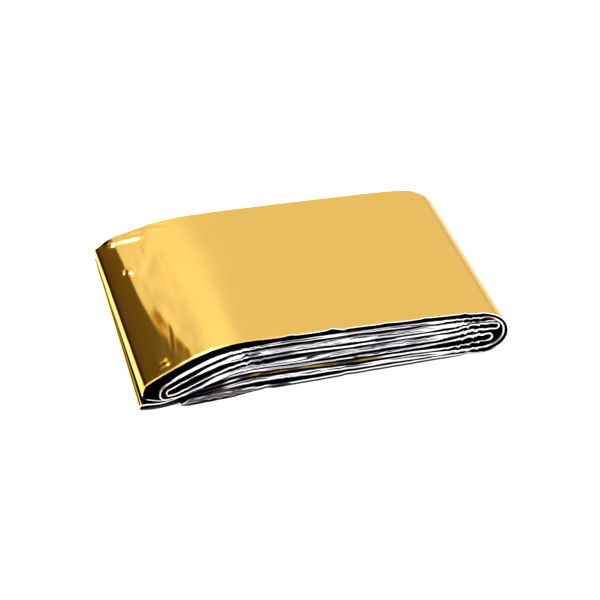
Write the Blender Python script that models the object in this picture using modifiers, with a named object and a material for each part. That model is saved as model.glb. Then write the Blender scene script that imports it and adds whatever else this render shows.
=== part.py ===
"""Emergency foil blanket, folded into its flat pack.

The blanket is one sheet of metallised film.  It is pleated lengthwise into a long strip, the
strip is doubled, and the doubled strip is folded back and forth into nine runs that lie on each
other.  The solid here is that doubled strip: one ribbon, as thick as its pressed pleats, on the
back-and-forth section that shows at the front of the pack.

+X runs along the pack from its thin left end to its round right end, +Y from the front to the
back, +Z up.  The section is worked out in millimetres from the pack's left end, front edge and
ground.  The finished object is in metres, with its origin on the ground under its middle.
"""
import math
from typing import NamedTuple

import bmesh
import bpy
from mathutils import Matrix, Vector

MM = 0.001
PRESSED = 1.0             # the doubled strip's thickness at the pack's two ends, in mm
PUFF_STARTS = (18, 44)    # the strip grows thicker between these two places, in mm
PUFF_ENDS = (98, 116)     # and thinner again here
DEPTH = 78.0              # the strip's width, which is the pack's depth, in mm
MIDDLE = 62.0             # a fold whose tip lies beyond this place is a right fold, in mm
RUN_POINTS = 22           # points along each run, closer together at its ends
CROSS_SHARES = (0.0, 0.05, 0.18, 0.38, 0.6, 0.8, 0.94, 1.0)   # sections, from front to back
SHARP_ANGLE = math.radians(50)       # edges sharper than this stay sharp in the shading
HANDLE_REACH = 0.75       # a cubic curve goes this share of the way to the line of its handles

FILM_GOLD = (0.86, 0.56, 0.13, 1.0)
FILM_ROUGHNESS = 0.28


class Station(NamedTuple):
    """Heights of the runs' middle planes at one place along the pack, in mm.

    fronts: those of runs 2 to 8 at the front.  At the back they keep their shares of the height
    of run 2, second_back.  Run 1 is the top, and run 9 lies on the ground.
    """
    x: float
    top_front: float
    top_back: float
    second_back: float
    fronts: tuple


OUTLINE = (
    Station(0, 5.7, 10.2, 10.3, (7.4, 6.3, 5.3, 4.3, 3.2, 1.9, 0.5)),
    Station(5, 8.1, 12.0, 10.4, (7.8, 6.6, 5.6, 4.5, 3.4, 2.0, 0.6)),
    Station(10, 10.8, 13.4, 11.3, (9.0, 8.0, 6.5, 5.2, 3.9, 2.6, 1.3)),
    Station(15, 13.3, 14.8, 12.7, (10.6, 8.9, 7.3, 5.9, 4.6, 3.3, 1.9)),
    Station(20, 15.8, 16.2, 14.2, (12.5, 9.9, 7.7, 6.0, 4.6, 3.2, 1.8)),
    Station(27, 18.9, 17.2, 15.1, (14.9, 11.9, 9.3, 7.3, 5.4, 3.5, 1.9)),
    Station(34, 20.2, 17.6, 15.5, (16.3, 13.4, 10.8, 8.4, 6.2, 3.9, 2.1)),
    Station(45, 20.1, 17.7, 15.5, (17.2, 14.5, 12.1, 9.7, 7.1, 4.5, 2.4)),
    Station(65, 19.4, 17.4, 15.2, (17.0, 14.5, 12.1, 9.5, 6.9, 4.3, 2.4)),
    Station(90, 18.3, 16.9, 14.7, (16.2, 13.8, 11.7, 9.5, 7.0, 4.3, 2.4)),
    Station(106, 17.7, 16.4, 14.1, (15.5, 13.3, 11.4, 9.6, 7.4, 4.5, 2.5)),
    Station(114, 16.9, 15.7, 13.3, (14.8, 12.8, 11.0, 9.3, 7.4, 4.6, 2.6)),
    Station(124, 15.1, 14.0, 12.0, (13.0, 11.3, 9.9, 8.5, 7.0, 4.8, 3.4)),
)


class Run(NamedTuple):
    """One pass of the strip along the pack, with offsets and thicknesses in mm.

    loose: its thickness in the pack's middle, where its pleats puff up.
    front_left, front_right: how far its front edge stands back from the pack's front.
    back: how far its back edge stands out past the pack's back.
    """
    number: int
    loose: float
    front_left: float
    front_right: float
    back: float


RUNS = {run.number: run for run in (
    Run(1, 1.0, 0.0, 0.0, 0.0),
    Run(2, 1.0, 0.3, 0.3, -0.4),
    Run(3, 2.0, 0.2, 0.5, 0.3),
    Run(4, 1.0, -0.4, 0.3, -0.2),
    Run(5, 1.9, -0.9, 0.3, 0.4),
    Run(6, 1.0, -1.4, 0.5, 0.6),
    Run(7, 1.3, -2.4, 0.0, 1.6),
    Run(8, 1.2, -2.8, 0.3, 2.0),
    Run(9, 1.0, -3.7, 0.1, 0.3),
)}
LOWEST = max(RUNS)
LOOSEST = max(run.loose for run in RUNS.values())
FRONT_BLEND = (15, 46)    # the front edges' left offsets pass into the right ones here, in mm
BACK_LIFT = 3.6           # how far the left folds stand off the ground at the back, in mm
LIFT_FADES = (4, 17)      # that lift fades to nothing between these two places


class Turn(NamedTuple):
    """A fold that joins two runs.

    tip_front, tip_back: the outermost place of its outside at the pack's front and back, in mm.
    roundness: its reach over its height, 0.5 for half a circle.  points: those between its ends.
    """
    tip_front: float
    tip_back: float
    roundness: float
    points: int


ORDER = (9, 1, 6, 7, 8, 2, 5, 4, 3)      # the runs in the order in which the strip makes them
TURNS = {
    (9, 1): Turn(125.4, 124.6, 0.72, 13),
    (1, 6): Turn(3.7, 0.9, 0.55, 11),
    (6, 7): Turn(119.6, 119.0, 0.55, 5),
    (7, 8): Turn(2.6, 0.2, 0.6, 5),
    (8, 2): Turn(123.5, 122.7, 0.72, 11),
    (2, 5): Turn(9.0, 8.2, 0.6, 7),
    (5, 4): Turn(121.6, 120.8, 0.55, 5),
    (4, 3): Turn(11.9, 11.2, 0.55, 5),
}
FIRST_END = (15.6, 14.8)                 # the cut end of run 9, front and back, in mm
LAST_END = (116.5, 115.7)                # the cut end of run 3, front and back, in mm


class Point(NamedTuple):
    """A point of the strip's section, the places of its two edges, and its thickness."""
    x: float
    z: float
    front: float
    back: float
    thickness: float


def blend(a, b, share):
    return a + (b - a) * share


def ease(low, high, value):
    """0 below low, 1 above high, and an S curve between."""
    share = min(1.0, max(0.0, (value - low) / (high - low)))
    return share * share * (3 - 2 * share)


def smooth_through(xs, heights, x):
    """The height at x on a smooth curve through the given places, straight beyond them."""
    last = len(xs) - 1
    i = next((k for k in range(last) if x < xs[k + 1]), last - 1)

    def slope(k):
        before = max(k - 1, 0)
        after = min(k + 1, last)
        return (heights[after] - heights[before]) / (xs[after] - xs[before])

    width = xs[i + 1] - xs[i]
    u = (x - xs[i]) / width
    if u < 0 or u > 1:
        end = 0 if u < 0 else last
        return heights[end] + slope(end) * (x - xs[end])
    return ((1 + 2 * u) * (1 - u) ** 2 * heights[i] + u * (1 - u) ** 2 * width * slope(i)
            + u * u * (3 - 2 * u) * heights[i + 1] + u * u * (u - 1) * width * slope(i + 1))


def thickness(number, x):
    """A run's thickness at x: pressed at the pack's ends and loose in its middle."""
    puff = ease(*PUFF_STARTS, x) * (1 - ease(*PUFF_ENDS, x))
    return blend(PRESSED, RUNS[number].loose, puff)


def front_edge(number, x):
    run = RUNS[number]
    return blend(run.front_left, run.front_right, ease(*FRONT_BLEND, x))


def back_edge(number):
    return DEPTH + RUNS[number].back


class Section:
    """The folded strip's section at one share of the pack's depth, in mm."""

    def __init__(self, share):
        self.share = share
        self.xs = [station.x for station in OUTLINE]
        self.curves = {1: [blend(s.top_front, s.top_back, share) for s in OUTLINE]}
        for number in range(2, LOWEST):
            self.curves[number] = [self.level(station, number) for station in OUTLINE]
        self.curves[LOWEST] = [PRESSED / 2] * len(OUTLINE)

    def level(self, station, number):
        """The height of one of runs 2 to 8 at a station."""
        ground = PRESSED / 2
        lifted = ground + BACK_LIFT * (1 - ease(*LIFT_FADES, station.x))
        stack_share = (station.fronts[number - 2] - ground) / (station.fronts[0] - ground)
        back = blend(lifted, station.second_back, stack_share)
        return blend(station.fronts[number - 2], back, self.share)

    def height(self, number, x):
        """The height of a run's middle plane at x."""
        return smooth_through(self.xs, self.curves[number], x)

    def turn_start(self, first, second):
        """Where the fold leaves its runs, and how far its curve's handles reach past that."""
        turn = TURNS[first, second]
        tip = blend(turn.tip_front, turn.tip_back, self.share)
        outward = 1 if tip > MIDDLE else -1
        middle_tip = tip - outward * PRESSED / 2
        rise = abs(self.height(first, middle_tip) - self.height(second, middle_tip))
        reach = turn.roundness * rise
        return middle_tip - outward * reach, outward * reach / HANDLE_REACH

    def run_points(self, number, start, end):
        """Points along one run, closer together towards its ends."""
        for i in range(RUN_POINTS):
            even = i / (RUN_POINTS - 1)
            x = blend(start, end, blend(even, ease(0, 1, even), 0.8))
            yield Point(x, self.height(number, x), front_edge(number, x), back_edge(number),
                        thickness(number, x))

    def turn_points(self, first, second):
        """Points round a fold: a cubic curve that leaves both runs along their slopes."""
        at, handle = self.turn_start(first, second)
        ends = []
        for number in (first, second):
            here = Vector((at, self.height(number, at)))
            inside = at - handle / 10
            slope = (here.y - self.height(number, inside)) / (at - inside)
            ends.append((here, here + handle * Vector((1, slope))))
        (a, a_handle), (b, b_handle) = ends
        steps = TURNS[first, second].points + 1
        for i in range(1, steps):
            t = i / steps
            x, z = (a * (1 - t) ** 3 + a_handle * 3 * t * (1 - t) ** 2
                    + b_handle * 3 * t * t * (1 - t) + b * t ** 3)
            yield Point(x, z, blend(front_edge(first, at), front_edge(second, at), t),
                        blend(back_edge(first), back_edge(second), t), PRESSED)

    def points(self):
        """The whole section, from the cut end of run 9 to the cut end of run 3."""
        made = []
        start = blend(*FIRST_END, self.share)
        for number, following in zip(ORDER, ORDER[1:]):
            end = self.turn_start(number, following)[0]
            made += self.run_points(number, start, end)
            made += self.turn_points(number, following)
            start = end
        return made + list(self.run_points(ORDER[-1], start, blend(*LAST_END, self.share)))


def film_material():
    material = bpy.data.materials.new("film_gold")
    material.use_nodes = True
    shader = material.node_tree.nodes["Principled BSDF"]
    shader.inputs["Base Color"].default_value = FILM_GOLD
    shader.inputs["Metallic"].default_value = 1.0
    shader.inputs["Roughness"].default_value = FILM_ROUGHNESS
    return material


def strip_surface():
    """The strip's middle surface and each vertex's thickness: its sections in rows, joined
    across the pack's depth."""
    surface = bmesh.new()
    rows = []
    thicknesses = []
    for share in CROSS_SHARES:
        points = Section(share).points()
        rows.append([surface.verts.new(Vector((p.x, blend(p.front, p.back, share), p.z)) * MM)
                     for p in points])
        thicknesses += [point.thickness for point in points]
    for row, next_row in zip(rows, rows[1:]):
        for i in range(len(row) - 1):
            surface.faces.new((row[i], next_row[i], next_row[i + 1], row[i + 1]))
    return surface, thicknesses


def middle_of(surface):
    """The middle of the surface's box along the pack and along its depth, in metres."""
    xs = [vertex.co.x for vertex in surface.verts]
    ys = [vertex.co.y for vertex in surface.verts]
    return (min(xs) + max(xs)) / 2, (min(ys) + max(ys)) / 2


def build_blanket(collection):
    surface, thicknesses = strip_surface()
    middle_x, middle_y = middle_of(surface)
    surface.transform(Matrix.Translation((-middle_x, -middle_y, 0)))
    mesh = bpy.data.meshes.new("blanket")
    surface.to_mesh(mesh)
    surface.free()
    mesh.shade_smooth()
    mesh.set_sharp_from_angle(angle=SHARP_ANGLE)
    mesh.materials.append(film_material())

    blanket = bpy.data.objects.new("blanket", mesh)
    collection.objects.link(blanket)
    looseness = blanket.vertex_groups.new(name="looseness")
    for index, here in enumerate(thicknesses):
        looseness.add([index], (here - PRESSED) / (LOOSEST - PRESSED), "REPLACE")
    pleats = blanket.modifiers.new("pleats", "SOLIDIFY")
    pleats.thickness = LOOSEST * MM
    pleats.offset = 0
    pleats.use_even_offset = True
    pleats.vertex_group = looseness.name
    pleats.thickness_vertex_group = PRESSED / LOOSEST
    return blanket


def main():
    for old in list(bpy.data.objects):
        bpy.data.objects.remove(old)
    collection = bpy.data.collections.new("emergency_blanket")
    bpy.context.scene.collection.children.link(collection)
    build_blanket(collection)


main()
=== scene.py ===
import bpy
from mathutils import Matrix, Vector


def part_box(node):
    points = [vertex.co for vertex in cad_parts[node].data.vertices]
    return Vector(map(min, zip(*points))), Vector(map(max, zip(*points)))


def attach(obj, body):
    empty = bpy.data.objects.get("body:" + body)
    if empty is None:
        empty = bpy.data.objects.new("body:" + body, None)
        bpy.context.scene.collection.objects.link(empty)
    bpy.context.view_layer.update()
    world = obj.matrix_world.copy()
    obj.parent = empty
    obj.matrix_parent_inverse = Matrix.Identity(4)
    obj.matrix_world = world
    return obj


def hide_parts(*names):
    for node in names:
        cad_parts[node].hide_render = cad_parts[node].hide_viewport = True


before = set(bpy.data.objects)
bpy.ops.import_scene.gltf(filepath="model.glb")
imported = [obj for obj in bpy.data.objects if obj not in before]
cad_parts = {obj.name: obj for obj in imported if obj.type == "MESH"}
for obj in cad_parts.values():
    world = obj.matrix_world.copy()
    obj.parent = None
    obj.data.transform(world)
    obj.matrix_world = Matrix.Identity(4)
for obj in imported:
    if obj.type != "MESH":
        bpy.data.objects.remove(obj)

"""Looks of the folded emergency foil blanket: one sheet of metallised film, gold outside and
silver inside, on the folds of the CAD solid.

The section's sizes are in millimetres: x along the pack from its thin left end, y from its
front edge to its back, z up from the ground.  Only the finished mesh is in metres.
"""
import math
from typing import NamedTuple

import bpy
import numpy as np
from mathutils import Vector

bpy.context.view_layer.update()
NODE = "blanket"
MM = 0.001


# ------------------------ the folded section

DEPTH = 78.0              # the strip's width, which is the pack's depth
MIDDLE = 62.0             # a fold whose tip lies beyond this place is a right fold
GROUND = 0.03             # how far the lowest film keeps off the ground
SKIN = 0.5                # from the section's middle line to the outside of the outermost ply
PUFF_STARTS = (16, 44)    # the runs pass from their left to their middle thickness here
PUFF_ENDS = (96, 116)     # and from their middle to their right thickness here
BACK_LIFT = 3.6           # how far the left folds stand off the ground at the back
LIFT_FADES = (4, 17)      # that lift fades to nothing between these two places
EDGE_PLACES = (2, 6, 18, 30, 42, 105)    # where the runs' front edges are given
LEFT_TIP = 0.2            # where the CAD solid's left end lies in these sizes
FRONT_MOST = -3.7         # and its front
HANDLE_REACH = 0.75       # a cubic curve goes this share of the way to the line of its handles


class Station(NamedTuple):
    """Heights of the runs' middle lines at one place along the pack.

    fronts: those of runs 2 to 8 at the front.  At the back they keep their shares of the height
    of run 2, second_back.  Run 1 is the top, and run 9 lies on the ground.
    """
    x: float
    top_front: float
    top_back: float
    second_back: float
    fronts: tuple


OUTLINE = (
    Station(0, 5.7, 10.2, 10.3, (5.8, 5.4, 4.7, 2.0, 4.1, 1.7, 0.6)),
    Station(5, 8.1, 12.0, 10.4, (5.6, 4.9, 3.4, 2.2, 3.8, 2.1, 0.6)),
    Station(10, 10.8, 13.4, 11.3, (5.9, 4.7, 3.4, 2.3, 2.0, 1.4, 0.55)),
    Station(15, 13.2, 14.8, 12.7, (9.0, 6.8, 4.3, 3.2, 2.3, 1.6, 0.75)),
    Station(20, 15.3, 16.2, 14.2, (11.5, 9.2, 6.5, 4.6, 3.5, 2.7, 1.8)),
    Station(27, 18.2, 17.2, 15.1, (14.5, 12.0, 9.1, 7.1, 5.7, 4.2, 2.7)),
    Station(34, 19.7, 17.6, 15.5, (16.2, 13.7, 11.1, 9.0, 7.2, 5.6, 3.8)),
    Station(45, 19.7, 17.7, 15.5, (16.9, 14.2, 11.8, 9.1, 7.0, 5.75, 3.8)),
    Station(55, 19.45, 17.55, 15.35, (16.95, 14.25, 12.0, 9.0, 6.75, 5.6, 3.5)),
    Station(72, 18.95, 17.25, 15.05, (16.6, 13.8, 11.4, 9.2, 6.5, 4.9, 3.05)),
    Station(90, 18.3, 16.9, 14.7, (16.0, 13.5, 11.35, 9.3, 6.5, 4.7, 2.9)),
    Station(106, 17.7, 16.4, 14.1, (15.5, 13.2, 11.2, 9.2, 6.75, 4.2, 2.4)),
    Station(114, 16.9, 15.7, 13.3, (15.0, 13.25, 12.35, 9.9, 7.5, 4.7, 2.5)),
    Station(124, 15.1, 14.0, 12.0, (13.4, 12.2, 11.2, 9.2, 7.4, 5.0, 2.8)),
)


class Run(NamedTuple):
    """One pass of the strip along the pack.

    left, middle, right: the thickness of its pressed pleats at the pack's left end, in its
    middle and at its right end.  fronts: how far its front edge stands back from the pack's
    front at EDGE_PLACES.  back: how far its back edge stands out past the pack's back.
    grooves: the depths of the grooves between its pleats' front folds, from the top down.
    sink: how much further back its lower front folds lie than its upper ones at the right end.
    """
    number: int
    left: float
    middle: float
    right: float
    fronts: tuple
    back: float
    grooves: tuple
    sink: float


RUNS = {run.number: run for run in (
    Run(1, 0.28, 0.28, 0.28, (0.0, 0.0, 0.0, 0.0, 0.0, 0.0), 0.0, (), 0.0),
    Run(2, 1.60, 1.15, 0.50, (0.3, 0.3, 0.3, 0.3, 0.3, 0.3), -0.4, (0.8,), 0.0),
    Run(3, 0.80, 2.20, 0.55, (-0.2, -0.2, -0.4, 0.0, 0.4, 0.4), 0.3, (0.9, 1.3, 0.7), 0.0),
    Run(4, 0.75, 0.85, 0.55, (-0.8, -0.8, -1.1, -0.5, 0.3, 0.3), -0.2, (), 0.0),
    Run(5, 0.70, 2.10, 1.20, (-1.0, -1.0, -1.5, -0.7, 0.3, 0.3), 0.4, (1.2, 0.8, 1.3), 0.0),
    Run(6, 0.55, 0.80, 0.90, (-0.5, -0.9, 0.4, -0.2, 0.4, 0.4), 0.6, (1.2,), 0.0),
    Run(7, 0.50, 0.95, 0.60, (-1.5, -1.7, 0.0, -0.6, 0.2, 0.2), 1.6, (), 0.3),
    Run(8, 0.85, 1.80, 1.00, (-1.7, -2.1, -1.2, -1.0, -0.2, 0.0), 2.0, (1.0,), 0.0),
    Run(9, 1.10, 1.40, 1.25, (-3.0, -3.0, -3.0, -2.4, -1.0, 0.0), 0.3, (), 0.0),
)}
LOWEST = max(RUNS)


class Turn(NamedTuple):
    """A fold that joins two runs.

    tip_front, tip_back: the outermost place of its outside at the pack's front and back.
    roundness: its reach over its height, 0.5 for half a circle.  points: those between its ends.
    over, under: how far its outside and its inside lie from the section's middle line.
    easing: the length along which its runs reach their own thickness.
    dark: the stretch of its outside, in shares of its length, that lies in a gap and is painted in
    shade.
    lean: above 0 where its second half stands out further than its first.
    """
    tip_front: float
    tip_back: float
    roundness: float
    points: int
    over: float
    under: float
    easing: float
    dark: tuple = ()
    lean: float = 0.0


ORDER = (9, 1, 6, 7, 8, 2, 5, 4, 3)      # the runs in the order in which the strip makes them
TURNS = {
    (9, 1): Turn(126.4, 125.2, 0.60, 32, 0.50, -0.15, 14, dark=(0, 0.1)),
    (1, 6): Turn(3.8, -1.2, 0.27, 30, 0.50, -0.15, 9, dark=(0.72, 1), lean=0.85),
    (6, 7): Turn(121.4, 120.8, 0.55, 12, 0.30, 0.25, 5),
    (7, 8): Turn(2.1, -1.4, 0.5, 12, 0.30, 0.20, 4),
    (8, 2): Turn(125.2, 124.2, 0.64, 26, 0.35, 0.25, 8),
    (2, 5): Turn(9.0, 8.2, 0.6, 16, 0.35, 0.15, 4),
    (5, 4): Turn(123.4, 122.6, 0.55, 10, 0.30, 0.20, 6),
    (4, 3): Turn(11.1, 10.4, 0.5, 10, 0.30, 0.15, 4),
}
CLOCKWISE = ((6, 7), (4, 3))             # these turns have their outside on the strip's left
DARK_FADE = 0.1                          # the painted shade of a dark stretch fades out over this share of its fold
FIRST_END = (15.6, 14.8)                 # the end of run 9, front and back
LAST_END = (121.4, 120.6)                # the end of run 3, front and back
END_PINCH = 3.0                          # the ends are pressed thin along this length
END_HALF = 0.2                           # half of their thickness
RUN_POINTS = 102                         # points along a run
TOP_POINTS = 180                         # points along the top run, whose wrinkles show
DENSE = ((40, 9, 1.2), (112, 8, 1.3))    # where the points lie closer: place, reach, how much
TOP_DENSE = ((12, 14, 2.2),)             # the same for the top run


def blend(a, b, share):
    return a + (b - a) * share


def ease(low, high, value):
    """0 below low, 1 above high, and an S curve between."""
    share = np.clip((np.asarray(value, float) - low) / (high - low), 0, 1)
    return share * share * (3 - 2 * share)


def smooth_through(xs, heights, x):
    """The height at x on a smooth curve through the given places, straight beyond them."""
    xs = np.asarray(xs, float)
    heights = np.asarray(heights, float)
    x = np.asarray(x, float)
    slopes = np.empty(len(xs))
    slopes[1:-1] = (heights[2:] - heights[:-2]) / (xs[2:] - xs[:-2])
    slopes[0] = (heights[1] - heights[0]) / (xs[1] - xs[0])
    slopes[-1] = (heights[-1] - heights[-2]) / (xs[-1] - xs[-2])
    i = np.clip(np.searchsorted(xs, x, side="right") - 1, 0, len(xs) - 2)
    width = xs[i + 1] - xs[i]
    u = (x - xs[i]) / width
    inside = ((1 + 2 * u) * (1 - u) ** 2 * heights[i] + u * (1 - u) ** 2 * width * slopes[i]
              + u * u * (3 - 2 * u) * heights[i + 1] + u * u * (u - 1) * width * slopes[i + 1])
    before = heights[0] + slopes[0] * (x - xs[0])
    after = heights[-1] + slopes[-1] * (x - xs[-1])
    return np.where(x < xs[0], before, np.where(x > xs[-1], after, inside))


def smooth_between(places, values, x):
    """Eased steps from value to value, level beyond the first and the last place."""
    total = np.full(np.shape(x), float(values[0]))
    for a, b, low, high in zip(values, values[1:], places, places[1:]):
        total = total + (b - a) * ease(low, high, x)
    return total


def ripple(place, seed, wavelength):
    """A smooth uneven wave between about -1 and 1; each seed gives another one."""
    turn = 2 * math.pi * np.asarray(place, float) / wavelength
    return (np.sin(turn + 1.7 * seed) + 0.7 * np.sin(1.83 * turn + 2.9 * seed + 1)
            + 0.5 * np.sin(3.37 * turn + 4.3 * seed + 2)) / 1.9


def run_thickness(number, x):
    run = RUNS[number]
    first = blend(run.left, run.middle, ease(*PUFF_STARTS, x))
    return blend(first, run.right, ease(*PUFF_ENDS, x))


def front_edge(number, x):
    return smooth_between(EDGE_PLACES, RUNS[number].fronts, x)


def spread(start, end, count, dense):
    """Places from start to end, closer together in the dense stretches."""
    fine = np.linspace(start, end, 2000)
    weight = np.ones(len(fine))
    for place, reach, more in dense:
        weight += more * np.exp(-((fine - place) / reach) ** 2)
    total = np.concatenate(((0,), np.cumsum(weight[1:])))
    return np.interp(np.linspace(0, total[-1], count), total, fine)


class Section:
    """The folded strip's section at one share of the pack's depth."""

    def __init__(self, share):
        self.share = share
        self.xs = [station.x for station in OUTLINE]
        self.curves = {1: [blend(s.top_front, s.top_back, share) for s in OUTLINE]}
        for number in range(2, LOWEST):
            self.curves[number] = [self.level(station, number) for station in OUTLINE]
        self.curves[LOWEST] = [run_thickness(LOWEST, x) / 2 + GROUND for x in self.xs]

    def level(self, station, number):
        """The height of one of runs 2 to 8 at a station."""
        lifted = SKIN + BACK_LIFT * (1 - ease(*LIFT_FADES, station.x))
        stack_share = (station.fronts[number - 2] - SKIN) / (station.fronts[0] - SKIN)
        back = blend(lifted, station.second_back, stack_share)
        return blend(station.fronts[number - 2], back, self.share)

    def height(self, number, x):
        """The height of a run's middle line at x."""
        return smooth_through(self.xs, self.curves[number], x)

    def turn_start(self, first, second):
        """Where the fold leaves its runs, and how far its curve's handles reach past that."""
        turn = TURNS[first, second]
        tip = blend(turn.tip_front, turn.tip_back, self.share)
        outward = 1 if tip > MIDDLE else -1
        middle_tip = tip - outward * SKIN
        rise = abs(self.height(first, middle_tip) - self.height(second, middle_tip))
        reach = turn.roundness * rise
        return float(middle_tip - outward * reach), float(outward * reach / HANDLE_REACH)

    def turn_points(self, first, second):
        """Points round a fold: a cubic curve that leaves both runs along their slopes."""
        at, handle = self.turn_start(first, second)
        inside = at - handle / 10
        lean = TURNS[first, second].lean
        ends = []
        for number, length in ((first, handle * (1 - lean)), (second, handle * (1 + lean))):
            here = np.array((at, self.height(number, at)))
            slope = (here[1] - self.height(number, inside)) / (at - inside)
            ends.append((here, here + length * np.array((1, slope))))
        (a, a_handle), (b, b_handle) = ends
        steps = TURNS[first, second].points + 1
        t = (np.arange(1, steps) / steps)[:, None]
        return (a * (1 - t) ** 3 + a_handle * 3 * t * (1 - t) ** 2
                + b_handle * 3 * t * t * (1 - t) + b * t ** 3)

    def points(self):
        """The whole section, from the end of run 9 to the end of run 3, as x and z."""
        made = []
        start = blend(*FIRST_END, self.share)
        for number, following in zip(ORDER, ORDER[1:] + (None,)):
            if following:
                end = self.turn_start(number, following)[0]
            else:
                end = blend(*LAST_END, self.share)
            if number == 1:
                x = spread(start, end, TOP_POINTS, TOP_DENSE)
            else:
                x = spread(start, end, RUN_POINTS, DENSE)
            made.append(np.column_stack((x, self.height(number, x))))
            if following:
                made.append(self.turn_points(number, following))
            start = end
        return np.vstack(made)


# ------------------------ what varies along the strip

def turn_sides(pair):
    """How far a fold's right-hand and left-hand faces lie from the section's middle line."""
    turn = TURNS[pair]
    return (turn.under, turn.over) if pair in CLOCKWISE else (turn.over, turn.under)


class Along:
    """Arrays with one value for each point along the strip.

    right, left: how far its right-hand and left-hand faces lie from the section's middle line,
    seen along the strip.  front, back: the places of its two edges.  travel: the length so far.
    up: 1 where its left-hand face is the upper one, -1 where its right-hand face is.
    inner: how far it lies from its run's ends, 0 at a fold and 1 past the fold's easing.
    dark: 1 where a fold's outside lies in a gap and is painted in shade.  sink: as in Run.
    share: from 0 to 1 along a fold, and -1 on the runs.  left_fold, right_fold: 1 on the outer
    folds of the top run.  past: how far it lies past the left end of its run.
    """

    def __init__(self, front_points):
        self.x = front_points[:, 0]
        self.z = front_points[:, 1]
        count = len(self.x)
        self.run = np.zeros(count, int)
        for name in ("right", "left", "front", "back", "up", "inner", "dark", "sink",
                     "left_fold", "right_fold", "past"):
            setattr(self, name, np.zeros(count))
        self.share = np.full(count, -1.0)
        at = 0
        previous = None
        for number, following in zip(ORDER, ORDER[1:] + (None,)):
            points = TOP_POINTS if number == 1 else RUN_POINTS
            self.fill_run(slice(at, at + points), number, previous, following)
            at += points
            if following:
                points = TURNS[number, following].points
                self.fill_turn(slice(at, at + points), number, following)
                at += points
            previous = number
        steps = np.hypot(*np.diff(front_points, axis=0).T)
        self.travel = np.concatenate(((0,), np.cumsum(steps)))
        self.front += front_wander(self.travel, self.x, self.run)

    def fill_run(self, part, number, previous, following):
        run = RUNS[number]
        x = self.x[part]
        right = left = run_thickness(number, x) / 2
        if number == 1:
            right = SKIN
            left = run.middle - SKIN
        inner = np.ones(len(x))
        for pair, end in (((previous, number), x[0]), ((number, following), x[-1])):
            easing = END_PINCH
            right_end = left_end = END_HALF
            if pair in TURNS:
                right_end, left_end = turn_sides(pair)
                easing = TURNS[pair].easing
            share = ease(0, easing, np.abs(x - end))
            right = blend(right_end, right, share)
            left = blend(left_end, left, share)
            inner *= share
        self.run[part] = number
        self.past[part] = x - x.min()
        self.right[part] = right
        self.left[part] = left
        self.front[part] = front_edge(number, x)
        self.back[part] = DEPTH + run.back
        self.up[part] = 1 if x[-1] > x[0] else -1
        self.inner[part] = inner
        self.sink[part] = run.sink * ease(*PUFF_ENDS, x)

    def fill_turn(self, part, first, second):
        """A fold keeps its own sides, and passes from the one run's edges to the other's."""
        share = np.linspace(0, 1, part.stop - part.start + 2)[1:-1]
        turn = TURNS[first, second]
        right, left = turn_sides((first, second))
        at = self.x[part][0]
        self.share[part] = share
        self.left_fold[part] = first == 1
        self.right_fold[part] = second == 1
        self.run[part] = np.where(share < 0.5, first, second)
        self.right[part] = right
        self.left[part] = left
        eased = ease(0, 1, share)
        self.front[part] = blend(front_edge(first, at), front_edge(second, at), eased)
        self.back[part] = DEPTH + blend(RUNS[first].back, RUNS[second].back, eased)
        if turn.dark:
            start, end = turn.dark
            begun = ease(start - DARK_FADE, start, share)
            self.dark[part] = begun * (1 - ease(end, end + DARK_FADE, share))


class Nick(NamedTuple):
    """A small dent in a run's front edge, or with a negative depth a small bulge."""
    run: int
    x: float
    width: float
    depth: float


NICKS = (
    Nick(1, 52.0, 1.3, 0.5),
    Nick(1, 66.0, 1.6, 0.8),
    Nick(1, 69.5, 1.0, -0.4),
    Nick(1, 84.0, 1.2, 0.3),
    Nick(1, 97.0, 1.5, 0.35),
    Nick(1, 110.5, 1.0, 0.6),
    Nick(1, 117.0, 1.2, 0.3),
    Nick(9, 44.0, 1.6, 0.5),
    Nick(9, 71.0, 2.0, 0.4),
    Nick(9, 113.0, 1.6, 0.6),
)


FRONT_WAVES = ((0.10, 2, 37), (0.05, 9, 7.3))    # each with its height, seed and wavelength


def front_wander(travel, x, run):
    """How far each front edge strays from its smooth line."""
    total = sum(height * ripple(travel, *wave) for height, *wave in FRONT_WAVES)
    for nick in NICKS:
        here = (run == nick.run) * np.exp(-((x - nick.x) / nick.width) ** 2)
        total = total + nick.depth * here
    return total


class Crumple(NamedTuple):
    """A stretch of some runs, first to last, whose front folds are crumpled.

    lift, depth: how far the folds stray up and down, and back.  wavelength: along the strip.
    """
    x: float
    reach: float
    first: int
    last: int
    lift: float
    depth: float
    wavelength: float


CRUMPLES = (
    Crumple(39, 6, 2, 5, 0.30, 0.6, 4.2),
    Crumple(62, 16, 3, 3, 0.12, 0.4, 6.0),
    Crumple(84, 18, 5, 6, 0.16, 0.5, 5.0),
    Crumple(113, 7, 2, 8, 0.34, 0.7, 3.4),
    Crumple(58, 20, 8, 8, 0.12, 0.4, 5.0),
    Crumple(27, 9, 9, 9, 0.16, 0.4, 3.8),
    Crumple(14, 5, 2, 5, 0.10, 0.3, 4.0),
)
CRUMPLE_DEPTH = 6.0       # how far in from the front edge a crumple reaches


def crumple(along, name, seed):
    """The crumples' lift or depth for each point along the strip."""
    total = np.zeros(len(along.x))
    for k, place in enumerate(CRUMPLES):
        runs = (along.run >= place.first) & (along.run <= place.last)
        here = runs * np.exp(-((along.x - place.x) / place.reach) ** 2)
        wave = ripple(along.travel, seed + 3 * k, place.wavelength)
        total = total + getattr(place, name) * here * wave
    return total


class Roll(NamedTuple):
    """A stretch of a run's front edge that is rolled up thick, over its own upper side.

    rises, falls: it reaches its height and loses it between these places.  coloured: it takes
    on its bands of painted shade between these.  depth: how far in from the front edge it reaches.
    """
    run: int
    rises: tuple
    falls: tuple
    coloured: tuple
    height: float
    depth: float


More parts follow.
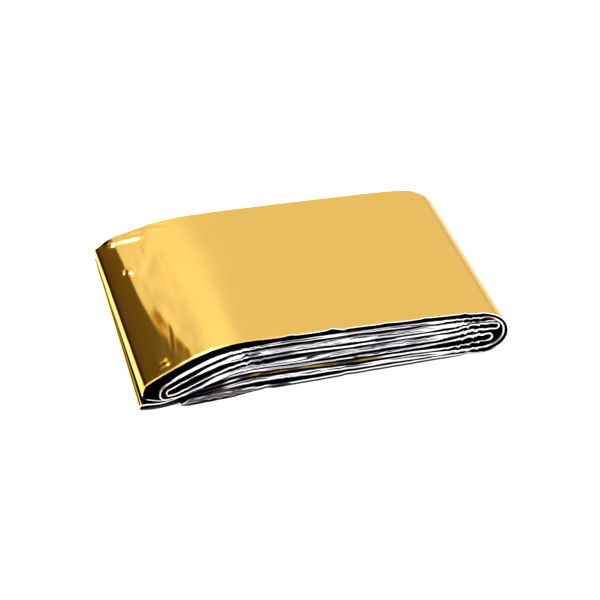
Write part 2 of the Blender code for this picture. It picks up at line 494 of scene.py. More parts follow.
ROLL = Roll(9, rises=(14.3, 19.3), falls=(27.8, 44.0), coloured=(16.6, 17.4), height=1.7, depth=1.5)


def roll_height(along):
    """The roll's extra height for each point along the strip."""
    shape = ease(*ROLL.rises, along.x) * (1 - ease(*ROLL.falls, along.x))
    return ROLL.height * shape * (along.run == ROLL.run)


# ------------------------ relief of the top film

class Curve(NamedTuple):
    """A smooth curve across the pack, through the given values at the given y."""
    y: tuple
    values: tuple

    def at(self, y):
        return smooth_through(self.y, self.values, y)


# the film's slope down to the left fold: x of its low end, its crease and its crest
RAMP_LEFT = Curve((0, 20, 47, 78), (3.4, 2.6, 1.2, -0.4))
RAMP_CREASE = Curve(
    (0, 6, 10, 13, 16, 20, 25, 32, 42, 53, 62, 70, 78),
    (20.8, 20.2, 18.9, 16.8, 14.2, 12.8, 11.8, 10.9, 9.6, 8.5, 7.4, 6.3, 5.6))
RAMP_CREST = Curve((0, 15, 24, 34, 44, 78), (30.0, 30.4, 29.3, 26.9, 25.2, 25.2))
# and how far the crease stands above the smooth section
CREASE_RISE = Curve((0, 6, 12, 25, 40, 62, 70, 78), (0.65, 0.8, 0.95, 1.05, 1.2, 1.2, 0.9, 0.4))
RAMP_ROUND = 0.5          # how softly the slope turns at its low end


def soft_corner(t, width):
    """max(t, 0) with its corner rounded over a width."""
    return 0.5 * (t + np.sqrt(t * t + width * width))


def tent(x, left, top, right, width):
    """A ridge of height 1 at top that falls straight to 0 at left and right."""
    up = soft_corner(x - left, width) / (top - left)
    turn = soft_corner(x - top, width * 0.5) * (1 / (top - left) + 1 / (right - top))
    down = soft_corner(x - right, 3 * width) / (right - top)
    return up - turn + down


class Crease(NamedTuple):
    """A straight soft ridge in the top film, or with a negative height a trough.

    It runs from x0, y0 to x1, y1.
    """
    x0: float
    y0: float
    x1: float
    y1: float
    height: float
    width: float


CREASES = (
    Crease(16.9, 19.5, 15.4, 8.0, -0.045, 0.4),
    Crease(17.8, 19.0, 16.4, 8.5, 0.04, 0.4),
    Crease(9.6, 6.6, 13.0, 5.4, 0.40, 0.55),
    Crease(10.2, 3.9, 13.4, 3.2, 0.38, 0.5),
    Crease(5.2, 56.4, 7.4, 55.2, 0.45, 1.0),
    Crease(8.2, 55.2, 10.2, 54.0, 0.42, 1.0),
    Crease(5.8, 74.1, 15.2, 72.0, 0.50, 1.25),
    Crease(3.1, 74.0, 5.9, 72.9, 0.50, 1.0),
    Crease(3.0, 76.8, 14.0, 75.8, 0.22, 0.7),
    Crease(12.0, 76.4, 24.0, 73.2, 0.13, 0.9),
    Crease(14.8, 62.6, 16.8, 61.8, 0.25, 1.2),
    Crease(14.6, 31.0, 18.6, 13.0, 0.14, 1.2),
    Crease(20.0, 66.0, 13.0, 48.0, -0.14, 2.4),
    Crease(22.5, 60.0, 24.0, 38.0, 0.14, 2.2),
    Crease(10.5, 52.0, 16.5, 40.0, 0.12, 1.5),
    Crease(12.5, 36.0, 20.0, 27.0, -0.12, 1.6),
    Crease(4.8, 47.5, 10.5, 42.0, 0.10, 1.7),
    Crease(8.6, 40.5, 14.5, 35.0, -0.10, 1.6),
    Crease(12.8, 28.0, 19.5, 21.0, 0.08, 1.7),
)


def crease_field(x, y):
    """The creases' heights, which fade out past both ends of each crease."""
    total = np.zeros(np.shape(x))
    for crease in CREASES:
        along = np.array((crease.x1 - crease.x0, crease.y1 - crease.y0))
        length = np.hypot(*along)
        along = along / length
        s = (x - crease.x0) * along[0] + (y - crease.y0) * along[1]
        side = (x - crease.x0) * along[1] - (y - crease.y0) * along[0]
        share = s / length
        fade = ease(-0.25, 0.25, share) * (1 - ease(0.75, 1.25, share))
        total = total + crease.height * fade * np.exp(-(side / crease.width) ** 2)
    return total


EDGE_DROP = 0.14          # how far the top film bends down at its front edge,
EDGE_DROP_REACH = 0.409   # and how quickly that fades behind the edge
RAMP_WAVES = 0.06         # how uneven the film is where it slopes down on the left,
RAMP_WAVES_FADE = (20, 30)               # fading out between these places
LEVEL_RISES = (28, 40)    # the level part of the top lies between these places
LEVEL_FALLS = (104, 118)


class Wave(NamedTuple):
    """A slow wave over the level part of the top, along the direction x_part, y_part."""
    height: float
    x_part: float
    y_part: float
    seed: int
    wavelength: float


WAVES = (
    Wave(0.05, 1, 0.3, 3, 61),
    Wave(0.05, -0.2, 1, 5, 47),
    Wave(0.027, 1, -0.7, 13, 23),
)


def top_relief(x, y, front):
    """How far the top film stands off its smooth section."""
    ridge = tent(x, RAMP_LEFT.at(y), RAMP_CREASE.at(y), RAMP_CREST.at(y), RAMP_ROUND)
    crossing = ripple(x + 0.5 * y, 4, 10.5) * ripple(y - 0.3 * x, 8, 13)
    uneven = RAMP_WAVES * crossing * (1 - ease(*RAMP_WAVES_FADE, x))
    level = ease(*LEVEL_RISES, x) * (1 - ease(*LEVEL_FALLS, x))
    waves = sum(wave.height * ripple(wave.x_part * x + wave.y_part * y, wave.seed, wave.wavelength)
                for wave in WAVES)
    drop = EDGE_DROP * np.exp(-np.clip(y - front, 0, None) / EDGE_DROP_REACH)
    return CREASE_RISE.at(y) * ridge + uneven + crease_field(x, y) + waves * level - drop


# ------------------------ the film mesh

# the mesh's rows from the front edge to the back one, closest where the creases are
OUTER_STEPS = (
    0, 0.15, 0.45, 0.9, 1.5, 2.2, 2.9, 3.6, 4.4, 5.2, 6.0, 6.8, 8, 9.6, 11.4, 13.4, 15.6,
    18, 21, 24, 27, 30, 33, 36, 39.5, 43, 46.5, 50, 52.5, 53.7, 54.6, 55.5, 56.4, 57.6, 60, 63,
    66, 68.5, 70.3, 71.2, 71.9, 72.6, 73.3, 74, 74.7, 75.5, 76.3, 77.1, 77.7, 78)
INNER_STEPS = (0, 0.5, 1.2, 3.5, 12, 40, 77, 78)
FRONT_COUNT = 27          # points across a front fold,
FRONT_CROWDING = 0.35     # which lie closer together at its sides
BACK_COUNT = 5            # points across a back fold
BACK_ROUNDING = 0.45      # how far a back fold's round edge reaches back at most
ROUNDING = 0.4            # the same for a front fold,
ROLL_ROUNDING = 0.45      # and how much more for each mm of the roll's height
CLOSED_FROM = (22, 40)    # the folds lie close together between these places, with grooves,
CLOSED_UNTIL = (96, 108)  # and outside them they stand apart, without
GROOVE_WIDTH = 0.30       # half a groove's width where the folds lie close,
OPEN_WIDTH = 0.38         # and where they stand apart
GROOVE_SHARE = 0.34       # and at most this share of the distance between two grooves
GROOVE_WANDER = 0.2       # how far a groove strays, as a share of that distance
GROOVE_STRENGTH = (0.75, 0.8)            # its mean depth, and how much that varies
GROOVE_STEP = 0.2         # how far the folds on its two sides differ in standing back


def profile_places(count, crowding):
    """Places across an edge, from -1 on the right-hand face to 1 on the left-hand one."""
    even = np.linspace(-1, 1, count)
    return (1 - crowding) * even + crowding * np.sin(even * math.pi / 2)


def rounded(half, places):
    """How far a fold's round edge reaches back at each place across it."""
    return half[:, None] * (1 - np.sqrt(np.clip(1 - places ** 2, 0, 1)))


def front_profile(along):
    """The front folds: how far each point of the profile stands back, and its groove, 0 to 1."""
    places = np.tile(profile_places(FRONT_COUNT, FRONT_CROWDING), (len(along.x), 1))
    half = (along.right + along.left + roll_height(along)) / 2
    setback = rounded(np.minimum(half, ROUNDING + ROLL_ROUNDING * roll_height(along)), places)
    grooves = np.zeros(places.shape)
    closed = ease(*CLOSED_FROM, along.x) * (1 - ease(*CLOSED_UNTIL, along.x))
    for number, run in RUNS.items():
        of_run = (along.run == number) * along.inner
        for k, depth in enumerate(run.grooves):
            seed = 7 * number + 3 * k
            pitch = 2 / (len(run.grooves) + 1)
            middle = along.up * (1 - pitch * (k + 1))
            middle = middle + GROOVE_WANDER * pitch * ripple(along.travel, seed, 47)
            width = blend(OPEN_WIDTH, GROOVE_WIDTH, closed) / half
            width = np.clip(width, 0, GROOVE_SHARE * pitch)
            mean, varied = GROOVE_STRENGTH
            strength = np.clip(mean + varied * ripple(along.travel, seed + 1, 31), 0, 1)
            strength = of_run * closed * strength * (1 - ease(*PUFF_ENDS, along.x))
            offset = (places - middle[:, None]) / width[:, None]
            groove = strength[:, None] * np.exp(-offset ** 2)
            step = GROOVE_STEP * of_run * ripple(along.travel, seed + 2, 35)
            setback = setback + depth * groove * (0.5 + 0.5 * closed)[:, None]
            setback = setback + step[:, None] * np.tanh(offset)
            grooves = np.maximum(grooves, groove)
    downward = 0.5 * (1 - places * along.up[:, None])
    setback = setback + along.sink[:, None] * downward ** 1.5
    setback = setback + crumple(along, "depth", 5)[:, None] * np.cos(2.2 * places)
    return places, setback, grooves


TOP_BLUR = 9              # the top run's weight is smoothed over this many points


def top_weight(along):
    """1 on the top run, fading out round its two folds."""
    top = (along.run == 1).astype(float)
    kernel = np.hanning(TOP_BLUR)
    return np.convolve(top, kernel / kernel.sum(), mode="same")


CORNER_FADES = (60, 78)   # the back corners are drawn in between these places,
LEFT_CUTS = (             # by this much at the left end: the depth, and where it fades
    (2.2, (-1.5, 7)),
    (1.5, (-2.2, -0.8)),
)
RIGHT_CUT = 4.2           # and by this much at the right end,
RIGHT_REACH = 11.5        # along this length
OUTER_RUNS = (1, 9)       # the runs of the outer fold on the right,
RIGHT_ENDS = (125.5, 120.5)              # which ends at the first place, the others at the second


def corner_cut(along, x, y):
    """How far the pack's two back corners are drawn in."""
    total = sum(depth * (1 - ease(*fades, x)) for depth, fades in LEFT_CUTS)
    right_end = np.where(np.isin(along.run, OUTER_RUNS), *RIGHT_ENDS)
    total = total + RIGHT_CUT * ease(right_end - RIGHT_REACH, right_end, x)
    return total * ease(*CORNER_FADES, y)


def normals(points):
    """The left-hand unit normals of a line of points."""
    step = np.gradient(points, axis=0)
    step /= np.hypot(*step.T)[:, None]
    return np.column_stack((-step[:, 1], step[:, 0]))


def placed(points, line_normals, offset, y, along):
    """One line of vertices along the strip, with the strip's unevenness added."""
    y = y - corner_cut(along, points[:, 0], y)
    x = points[:, 0] + line_normals[:, 0] * offset
    z = points[:, 1] + line_normals[:, 1] * offset
    relief = top_relief(x, y, along.front) * top_weight(along)
    x = x - line_normals[:, 0] * relief
    z = z - line_normals[:, 1] * relief
    return np.column_stack((x, y, z))


def film_points():
    """The mesh's vertices: one closed loop of points for each place along the strip.

    A loop goes round the front edge to the left-hand face, back along it, round the back edge
    and forwards along the right-hand face.
    """
    outer = np.array(OUTER_STEPS) / DEPTH
    inner = np.array(INNER_STEPS) / DEPTH
    sections = {share: Section(share).points() for share in sorted({*outer, *inner})}
    lines = {share: normals(points) for share, points in sections.items()}
    along = Along(sections[0.0])
    lift = crumple(along, "lift", 1)
    roll = roll_height(along)
    loops = []

    def add(share, y, offset, raised):
        """Adds one line of points; raised is how much of the roll's height it takes."""
        depth = np.clip(y - along.front, 0, None)
        near = np.exp(-(depth / CRUMPLE_DEPTH) ** 2)
        offset = offset + raised * roll * np.exp(-(depth / ROLL.depth) ** 2)
        points = placed(sections[share], lines[share], offset, y, along)
        points[:, 2] = np.maximum(points[:, 2] + lift * near, GROUND)
        loops.append(points)

    def face(shares, offset, raised):
        for share in shares:
            add(share, along.front + (along.back - along.front) * share, offset, raised)

    def edge(share, places, y_of):
        middle = (along.left - along.right) / 2
        half = (along.right + along.left) / 2
        for k in range(places.shape[1]):
            offset = middle + half * places[:, k]
            add(share, y_of(k), offset, 0.5 + 0.5 * places[:, k])

    places, setback, grooves = front_profile(along)
    edge(0.0, places, lambda k: along.front + setback[:, k])
    face(inner[1:-1], along.left, 1)
    back_places = np.tile(profile_places(BACK_COUNT, 1.0)[::-1], (len(along.x), 1))
    back_half = np.minimum((along.right + along.left) / 2, BACK_ROUNDING)
    back_setback = rounded(back_half, back_places)
    edge(1.0, back_places, lambda k: along.back - back_setback[:, k])
    face(outer[-2:0:-1], -along.right, 0)
    return np.stack(loops, axis=1), along, places, grooves


# ------------------------ colours and painted shade along the film

GOLD = np.array((0.83, 0.525, 0.117))
SILVER = np.array((0.93, 0.92, 0.95))
SHADE = np.array((0.025, 0.021, 0.03))   # painted shade in the gaps between the folds
GAP_FADES = (9, 18)              # a gap's painted shade fades out this far in from the front edge
RIGHT_FOLD_SHADE = 0.45                      # painted shade: the right fold's gold is darkened to this share of the top's
RIGHT_FOLD_SHADE_FADES = (0.80, 0.94)        # from its side to its top, in shares of the fold
FOLD_LINE_SHADE_SLOPES = (34, 41, 56, 62)   # a line of painted shade where the left fold turns down; slopes in degrees
FOLD_LINE_SHADE_REACH = 4                   # it reaches this many points past the fold's two ends
FOLD_LINE_SHADE_TINT = 0.12
FOLD_LINE_SHADE_CORE = 0.85                 # how dark the painted shade is where the top film meets the fold,
FOLD_LINE_SHADE_WIDTH = 0.5                 # and how far it reaches
FOLD_BAND_SHADE_TINT = np.array((0.7, 0.45, 0.9))   # painted shade: the film is darker and redder past that line,
FOLD_BAND_SHADE_WIDTH = 1.8                 # which fades out over this distance
FLAP = 7                         # the run whose left end sticks out from below the top's,
FLAP_REACH = 6                   # by less than this
FLAP_GAP = (0.0, 0.06)           # its fold comes out of a gap, with painted shade, at these shares of its length
FLAP_GAP_DEPTH = 0.2             # how light that gap's painted shade is, as a share of SHADE
FLAP_CLOSED = (44, 54)           # behind these places the flap has no painted shade
DARK_TURN_DEPTH = 0.3            # how light the painted shade on a fold's dark stretch is, as a share of SHADE
RIM_SHADE_HEIGHTS = (0.2, 0.6)           # dashes of painted shade on the back edge, where a wave passes these heights,
RIM_ENDS = (9, 14)               # by the left fold,
RIM_FADES = (73.9, 75.4)         # behind these places


class ShadedStretch(NamedTuple):
    """A stretch of a run's front folds whose gold or silver is darkened with painted shade.

    lowest: where it ends below, from 1 at the run's top to -1 at its bottom.  mottle: how dark
    its patches of further painted shade are.
    """
    run: int
    start: float
    end: float
    lowest: float
    colour: tuple
    mottle: float


SHADED_STRETCHES = (
    ShadedStretch(7, 32, 86, -1.2, (0.30, 0.18, 0.02), 0.9),
    ShadedStretch(4, 37, 57, -1.2, (0.30, 0.26, 0.36), 0.3),
    ShadedStretch(8, 42, 50, 0.3, (0.65, 0.62, 0.75), 0.2),
)
SHADED_STRETCH_STARTS = 4               # it takes this length to begin,
SHADED_STRETCH_ENDS = 6                 # and this to end
GOLD_RIM_FADES = (38, 60)        # the top film's rim passes from gold to silver here
LIP_ENDS = (0.72, 0.88)          # a fold's silver ends here in painted shade, below the gap above it
GROOVE_SHOWS = (0.15, 0.5)       # a groove gets painted shade where it is deeper than this
GROUND_LINE = (0.2, 0.5)         # the lowest run gets painted shade below this, by the ground
SHADED_RUNS = (6, 7, 8)          # these runs get painted shade behind the roll,
SHADED_FROM = 15                 # from here
SHADED_FADES = (29, 33)          # to here
ROLL_SHOWS = (0.1, 0.4)          # the roll gets its bands of painted shade where it is higher than this
ROLL_SHADE_BANDS = (                   # the roll's bands of painted shade from the top down, and where each starts
    (0.80, (0.035, 0.03, 0.04)),
    (0.62, (0.13, 0.11, 0.15)),
    (0.42, (0.05, 0.042, 0.058)),
    (0.25, SHADE),
    (0.04, (0.55, 0.52, 0.50)),
    (-0.10, SHADE),
)
BAND_EDGE = 0.08                 # how soft their edges are,
BAND_WANDER = 0.14               # and how far they stray


def face_tints(along, faces):
    """The colour of the strip's left-hand face, back edge and right-hand face, with painted shade.
    """
    y = faces[:, :, 1]
    tints = np.tile(GOLD, (*y.shape, 1))
    # painted shade: the right fold's gold is darkened
    right_fold_shade = along.right_fold * (1 - ease(*RIGHT_FOLD_SHADE_FADES, along.share))
    on_top = (along.run == 1) * (along.share < 0)
    # painted shade on a darker, redder band past the left fold's line
    fold_band_shade = on_top * np.exp(-along.past / FOLD_BAND_SHADE_WIDTH)
    # painted shade along the line where the top film turns down into the left fold
    fold_core_shade = on_top * FOLD_LINE_SHADE_CORE * np.exp(-(along.past / FOLD_LINE_SHADE_WIDTH) ** 2)
    tints *= (blend(1, RIGHT_FOLD_SHADE, right_fold_shade) * (1 - fold_core_shade))[:, None, None]
    tints *= blend(1, FOLD_BAND_SHADE_TINT, fold_band_shade[:, None])[:, None, :]
    tints *= blend(1, FOLD_LINE_SHADE_TINT, fold_line_shade(along, faces))[:, :, None]

    # painted shade on the faces in the gaps between the folds, near the front edge
    on_outside = np.arange(y.shape[1]) >= len(INNER_STEPS) - 2
    bare = np.maximum(top_weight(along), (along.inner == 0) * (1 - along.dark))
    gap = np.where(on_outside, (1 - bare)[:, None], 1)
    gap = gap * (1 - ease(*GAP_FADES, y - along.front[:, None]))
    # painted shade in the gap above the flap's fold
    on_flap = ((along.run == FLAP) & (along.x < MIDDLE) & (along.past < FLAP_REACH)
               & (along.share < 0.5))
    flap_gap = np.where(along.share < 0, 1, 1 - ease(*FLAP_GAP, along.share))
    flap_gap = flap_gap[:, None] * (1 - ease(*FLAP_CLOSED, y))
    gap = np.where(on_flap[:, None], flap_gap, gap)
    depth = np.where(on_flap, FLAP_GAP_DEPTH, 1.0)
    tints = blend(tints, depth[:, None, None] * SHADE, gap[:, :, None])

    # dashes of painted shade on the back rim, by the left fold
    rim_shade_marks = ease(*RIM_SHADE_HEIGHTS, ripple(along.x, 4, 6.5))
    rim_shade_marks = rim_shade_marks * (along.run == 1) * (1 - ease(*RIM_ENDS, along.x))
    rim = rim_shade_marks[:, None] * ease(*RIM_FADES, y) * on_outside
    tints = blend(tints, SHADE, rim[:, :, None])
    # painted shade on the folds' dark stretches
    dark_turn = along.dark[:, None] * on_outside
    return blend(tints, DARK_TURN_DEPTH * SHADE, dark_turn[:, :, None])


def fold_line_shade(along, faces):
    """1 on the line of painted shade where the left fold turns down, told by its slope."""
    step = np.abs(np.gradient(faces, axis=0))
    slope = np.degrees(np.arctan2(step[:, :, 2], step[:, :, 0]))
    low, full, still, gone = FOLD_LINE_SHADE_SLOPES
    reach = np.ones(2 * FOLD_LINE_SHADE_REACH + 1)
    near_fold = np.convolve(along.left_fold, reach, mode="same")[:, None] > 0
    return ease(low, full, slope) * (1 - ease(still, gone, slope)) * near_fold


def edge_tints(along, places, grooves):
    """The colour of the front folds: silver, gold on the top film's left rim, and painted shade in
    the gaps, the grooves, the roll and a few other stretches.
    """
    upper = places * along.up[:, None]
    tints = np.tile(SILVER, (*places.shape, 1))
    golden = (along.run == 1) * (1 - ease(*GOLD_RIM_FADES, along.x))
    tints = blend(tints, GOLD, golden[:, None, None])
    # stretches of the film's gold or silver, darkened with painted shade and mottled with more of
    # it
    for k, shaded_stretch in enumerate(SHADED_STRETCHES):
        here = (along.run == shaded_stretch.run) * ease(0, SHADED_STRETCH_STARTS, along.x - shaded_stretch.start)
        here = here * ease(0, SHADED_STRETCH_ENDS, shaded_stretch.end - along.x)
        here = here[:, None] * ease(shaded_stretch.lowest, shaded_stretch.lowest + 0.2, upper)
        wave = ripple(along.travel[:, None] + upper, 3 + k, 17)
        mottle = shaded_stretch.mottle * ease(-0.2, 0.4, wave)
        colour = blend(np.array(shaded_stretch.colour), SHADE, mottle[:, :, None])
        tints = blend(tints, colour, here[:, :, None])
    # bands of painted shade across the roll's silver
    rolled = ease(*ROLL_SHOWS, roll_height(along)) * ease(*ROLL.coloured, along.x)
    rolled = rolled[:, None]
    height = upper + BAND_WANDER * ripple(along.travel, 6, 9.0)[:, None]
    for start, colour in ROLL_SHADE_BANDS:
        below = rolled * (1 - ease(start - BAND_EDGE, start, height))
        tints = blend(tints, np.array(colour), below[:, :, None])

    straight = (along.share < 0)[:, None] * (1 - rolled)
    past_left_end = along.x > SHADED_FROM
    ground = (along.run == LOWEST)[:, None] * straight * (1 - ease(*GROUND_LINE, upper))
    shaded = np.isin(along.run, SHADED_RUNS) * past_left_end * (1 - ease(*SHADED_FADES, along.x))
    under_flap = (along.run == FLAP + 1) & (along.x < SHADED_FROM)
    has_lip = (along.run > 1) & ((along.run != FLAP) | past_left_end)
    lip = has_lip[:, None] * straight * ease(*LIP_ENDS, upper)
    # painted shade in the grooves, on the folds' dark stretches, by the ground, behind the roll,
    # under the flap and below each gap
    dark = ease(*GROOVE_SHOWS, grooves)
    for other in (along.dark[:, None], ground, shaded[:, None], under_flap[:, None], lip):
        dark = np.maximum(dark, other)
    return blend(tints, SHADE, dark[:, :, None])


def build_film():
    """The film's mesh, closed at the strip's two ends, with its colours and painted shade as
    attributes.
    """
    loops, along, places, grooves = film_points()
    count, around = loops.shape[:2]
    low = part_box(NODE)[0]
    place = np.array((low.x / MM - LEFT_TIP, low.y / MM - FRONT_MOST, low.z / MM))
    vertices = (loops.reshape(-1, 3) + place) * MM

    index = np.arange(count * around).reshape(count, around)
    following = np.roll(index, -1, axis=1)
    quads = np.stack((index[:-1], following[:-1], following[1:], index[1:]), axis=-1)
    faces = quads.reshape(-1, 4).tolist()
    faces.append(index[0, ::-1].tolist())
    faces.append(index[-1].tolist())
    mesh = bpy.data.meshes.new("foil_film")
    mesh.from_pydata(vertices.tolist(), [], faces)
    mesh.update()
    mesh.shade_smooth()

    # the tints hold the film's gold and silver and its painted shade
    tint = np.ones((count * around, 4), np.float32)
    tints = (edge_tints(along, places, grooves), face_tints(along, loops[:, FRONT_COUNT:]))
    tint[:, :3] = np.concatenate(tints, axis=1).reshape(-1, 3)
    attribute = mesh.attributes.new("tint", "FLOAT_COLOR", "POINT")
    attribute.data.foreach_set("color", tint.ravel())
    store_strip_places(mesh, along, loops, places)

    film = bpy.data.objects.new("foil_film", mesh)
    bpy.context.scene.collection.objects.link(film)
    return film


RUNS_APART = 10           # from one run to the next in the streaks' pattern


def store_strip_places(mesh, along, loops, places):
    """Stores each vertex's place on the strip in mm, and 1 on the silver front folds.

    A place is the length along the strip, the height on a front fold, set apart from run to
    run, and y.
    """
    count, around = loops.shape[:2]
    strip = np.zeros((count, around, 3), np.float32)
    strip[:, :, 0] = along.travel[:, None]
    half = (along.left + along.right)[:, None] / 2
    strip[:, :FRONT_COUNT, 1] = RUNS_APART * along.run[:, None] + half * places
    strip[:, :, 2] = loops[:, :, 1]
    attribute = mesh.attributes.new("strip", "FLOAT_VECTOR", "POINT")
    attribute.data.foreach_set("vector", strip.ravel())
    silver = np.zeros((count, around), np.float32)
    silver[:, :FRONT_COUNT] = (along.run != 1)[:, None]
    attribute = mesh.attributes.new("silver", "FLOAT", "POINT")
    attribute.data.foreach_set("value", silver.ravel())


# ------------------------ materials

EDGE_COLOUR = (1.0, 0.88, 0.7, 1)    # the film's reflections at a grazing angle
GOLD_ROUGHNESS = 0.14
SILVER_ROUGHNESS = 0.4
STREAK_SHADE = (0.05, 0.045, 0.075, 1)     # painted shade: grey-violet streaks on the silver folds
STREAK_SIZE = (0.08, 1.7, 0.0)       # streaks per mm along the strip, across it and in depth
STREAK_CUT = (0.625, 0.64)           # the noise is a streak above this


def attribute(nodes, name):
    node = nodes.new("ShaderNodeAttribute")
    node.attribute_name = name
    return node.outputs


def film_material():
    """Metal with the mesh's tints, which hold painted shade, streaked with painted shade and
    rougher on the silver folds.
    """
    material = bpy.data.materials.new("metallised_film")
    material.use_nodes = True
    nodes = material.node_tree.nodes
    links = material.node_tree.links
    shader = nodes["Principled BSDF"]
    shader.inputs["Metallic"].default_value = 1.0
    shader.inputs["Specular Tint"].default_value = EDGE_COLOUR
    # streaks of painted shade darken the tints on the silver folds
    streaked = nodes.new("ShaderNodeMix")
    streaked.data_type = "RGBA"
    streaked.blend_type = "MULTIPLY"
    links.new(silver_shade_streaks(nodes, links), streaked.inputs["Factor"])
    # A, B and the result of this node's colour mode are sockets 6, 7 and 2
    links.new(attribute(nodes, "tint")["Color"], streaked.inputs[6])
    streaked.inputs[7].default_value = STREAK_SHADE
    links.new(streaked.outputs[2], shader.inputs["Base Color"])
    rough = nodes.new("ShaderNodeMapRange")
    rough.inputs["To Min"].default_value = GOLD_ROUGHNESS
    rough.inputs["To Max"].default_value = SILVER_ROUGHNESS
    links.new(attribute(nodes, "silver")["Fac"], rough.inputs["Value"])
    links.new(rough.outputs["Result"], shader.inputs["Roughness"])
    return material


def silver_shade_streaks(nodes, links):
    """1 on the streaks of painted shade, which run along the strip, 0 between them and on the gold.
    """
    scaled = nodes.new("ShaderNodeVectorMath")
    scaled.operation = "MULTIPLY"
    links.new(attribute(nodes, "strip")["Vector"], scaled.inputs[0])
    scaled.inputs[1].default_value = STREAK_SIZE
    noise = nodes.new("ShaderNodeTexNoise")
    noise.inputs["Scale"].default_value = 1.0
    noise.inputs["Detail"].default_value = 0.5
    links.new(scaled.outputs["Vector"], noise.inputs["Vector"])
    low, high = STREAK_CUT
    cut = nodes.new("ShaderNodeMapRange")
    cut.inputs["From Min"].default_value = low
    cut.inputs["From Max"].default_value = high
    links.new(noise.outputs["Fac"], cut.inputs["Value"])
    amount = nodes.new("ShaderNodeMath")
    amount.operation = "MULTIPLY"
    links.new(cut.outputs["Result"], amount.inputs[0])
    links.new(attribute(nodes, "silver")["Fac"], amount.inputs[1])
    return amount.outputs["Value"]


def floor_material():
    """Nearly white, and a little bright by itself, as the photo's ground is."""
    material = bpy.data.materials.new("pale_floor")
    material.use_nodes = True
    shader = material.node_tree.nodes["Principled BSDF"]
    shader.inputs["Base Color"].default_value = (0.85, 0.85, 0.85, 1)
    shader.inputs["Emission Color"].default_value = (1, 1, 1, 1)
    shader.inputs["Emission Strength"].default_value = 0.5
    shader.inputs["Roughness"].default_value = 0.9
    shader.inputs["Specular IOR Level"].default_value = 0.1
    return material


# ------------------------ floor, light and camera

FLOOR_HALF = 6.0              # in metres, as the other sizes here, unless they say degrees
KEY_DIRECTION = (-38, 59)     # azimuth and elevation, as in direction
KEY_DISTANCE = 0.9
KEY_SIZE = 0.38
KEY_ENERGY = 5.6
CAMERA_TARGET = (63.3, 32.7, 8.0)       # in the section's sizes
CAMERA_DIRECTION = (193.917, 37.053)    # from the target
CAMERA_DISTANCE = 0.4932


def build_floor():
    mesh = bpy.data.meshes.new("floor")
    half = FLOOR_HALF
    corners = [(-half, -half, 0), (half, -half, 0), (half, half, 0), (-half, half, 0)]
    mesh.from_pydata(corners, [], [(0, 1, 2, 3)])
    mesh.materials.append(floor_material())
    floor = bpy.data.objects.new("floor", mesh)
    bpy.context.scene.collection.objects.link(floor)


def direction(azimuth, elevation):
    """A unit vector: azimuth from +Y towards +X, in degrees."""
    azimuth = math.radians(azimuth)
    elevation = math.radians(elevation)
    flat = math.cos(elevation)
    return Vector((math.sin(azimuth) * flat, math.cos(azimuth) * flat, math.sin(elevation)))


class Spot(NamedTuple):
    """A soft round patch of the world round a direction: whole inside, gone outside, in degrees."""
    azimuth: float
    elevation: float
    whole: float
    gone: float


BROWN_SPOT = Spot(azimuth=-50, elevation=8, whole=26, gone=37.5)
BROWN_STOPS = (               # its colours from its rim to its middle
    (0, (1, 1, 1)),
    (0.06, (0.78, 0.52, 0.12)),
    (0.25, (0.45, 0.27, 0.01)),
    (0.6, (0.2, 0.13, 0.005)),
    (1, (0.15, 0.105, 0.014)),
)
STUDIO = 0.97                 # the world's strength,
GLOWS = (                     # and what is added to it in three spots: at the left, above, before
    (Spot(azimuth=-4, elevation=38, whole=2, gone=14), 0.34),
    (Spot(azimuth=8, elevation=68, whole=10, gone=24), 0.35),
    (Spot(azimuth=180, elevation=10, whole=45, gone=75), 0.6),
)


def world_node(nodes, links, operation, *values):
    """The result of one math node, on sockets or on plain values."""
    node = nodes.new("ShaderNodeVectorMath" if operation == "DOT_PRODUCT" else "ShaderNodeMath")
    node.operation = operation
    for socket, value in zip(node.inputs, values):
        if hasattr(value, "links"):
            links.new(value, socket)
        else:
            socket.default_value = value
    return node.outputs["Value"]


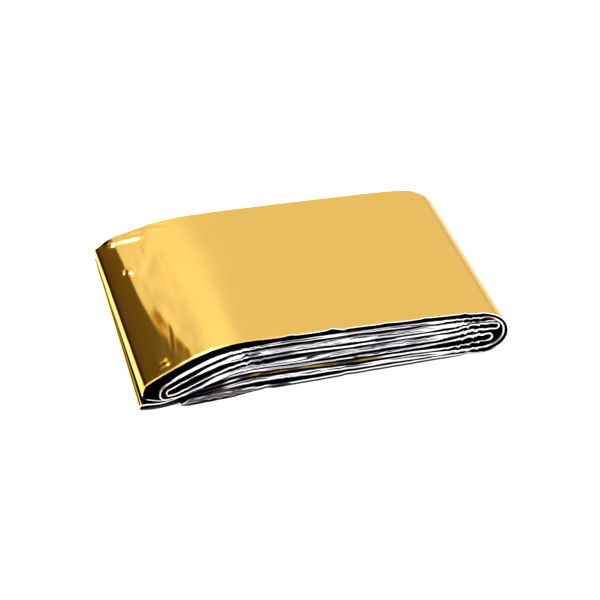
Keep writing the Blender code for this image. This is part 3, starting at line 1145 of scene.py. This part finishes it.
def spot_weight(nodes, links, way, spot):
    """1 where the spot is whole, 0 where it is gone, soft between."""
    centre = direction(spot.azimuth, spot.elevation)
    dot = world_node(nodes, links, "DOT_PRODUCT", way, centre)
    angle = world_node(nodes, links, "ARCCOSINE", dot)
    ramp = nodes.new("ShaderNodeMapRange")
    ramp.interpolation_type = "SMOOTHSTEP"
    ramp.inputs["From Min"].default_value = math.radians(spot.whole)
    ramp.inputs["From Max"].default_value = math.radians(spot.gone)
    ramp.inputs["To Min"].default_value = 1
    ramp.inputs["To Max"].default_value = 0
    links.new(angle, ramp.inputs["Value"])
    return ramp.outputs["Result"]


def build_world():
    """A white studio with one brown patch and three brighter ones."""
    world = bpy.data.worlds.new("studio")
    world.use_nodes = True
    bpy.context.scene.world = world
    nodes = world.node_tree.nodes
    links = world.node_tree.links
    background = nodes["Background"]
    way = nodes.new("ShaderNodeTexCoord").outputs["Generated"]
    strength = STUDIO
    for glow, added in GLOWS:
        weight = spot_weight(nodes, links, way, glow)
        strength = world_node(nodes, links, "MULTIPLY_ADD", weight, added, strength)
    links.new(strength, background.inputs["Strength"])

    ramp = nodes.new("ShaderNodeValToRGB")
    stops = ramp.color_ramp.elements
    first, *middle, last = BROWN_STOPS
    stops[0].color = (*first[1], 1)
    stops[1].color = (*last[1], 1)
    for place, colour in middle:
        stops.new(place).color = (*colour, 1)
    links.new(spot_weight(nodes, links, way, BROWN_SPOT), ramp.inputs["Fac"])
    links.new(ramp.outputs["Color"], background.inputs["Color"])


def build_key():
    light = bpy.data.lights.new("key", "AREA")
    light.size = KEY_SIZE
    light.energy = KEY_ENERGY
    key = bpy.data.objects.new("key", light)
    bpy.context.scene.collection.objects.link(key)
    way = direction(*KEY_DIRECTION)
    key.location = way * KEY_DISTANCE
    key.rotation_euler = way.to_track_quat("Z", "Y").to_euler()


def build_camera():
    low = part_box(NODE)[0]
    x, y, z = CAMERA_TARGET
    target = low + Vector((x - LEFT_TIP, y - FRONT_MOST, z)) * MM
    way = direction(*CAMERA_DIRECTION)
    data = bpy.data.cameras.new("camera")
    data.sensor_width = 36
    data.lens = 87
    data.clip_start = 0.01
    camera = bpy.data.objects.new("camera", data)
    camera.location = target + way * CAMERA_DISTANCE
    camera.rotation_euler = way.to_track_quat("Z", "Y").to_euler()
    bpy.context.scene.collection.objects.link(camera)
    bpy.context.scene.camera = camera


film = build_film()
film.data.materials.append(film_material())
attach(film, "root")
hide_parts(NODE)
build_floor()
build_world()
build_key()
build_camera()
bpy.context.scene.view_settings.view_transform = "Standard"
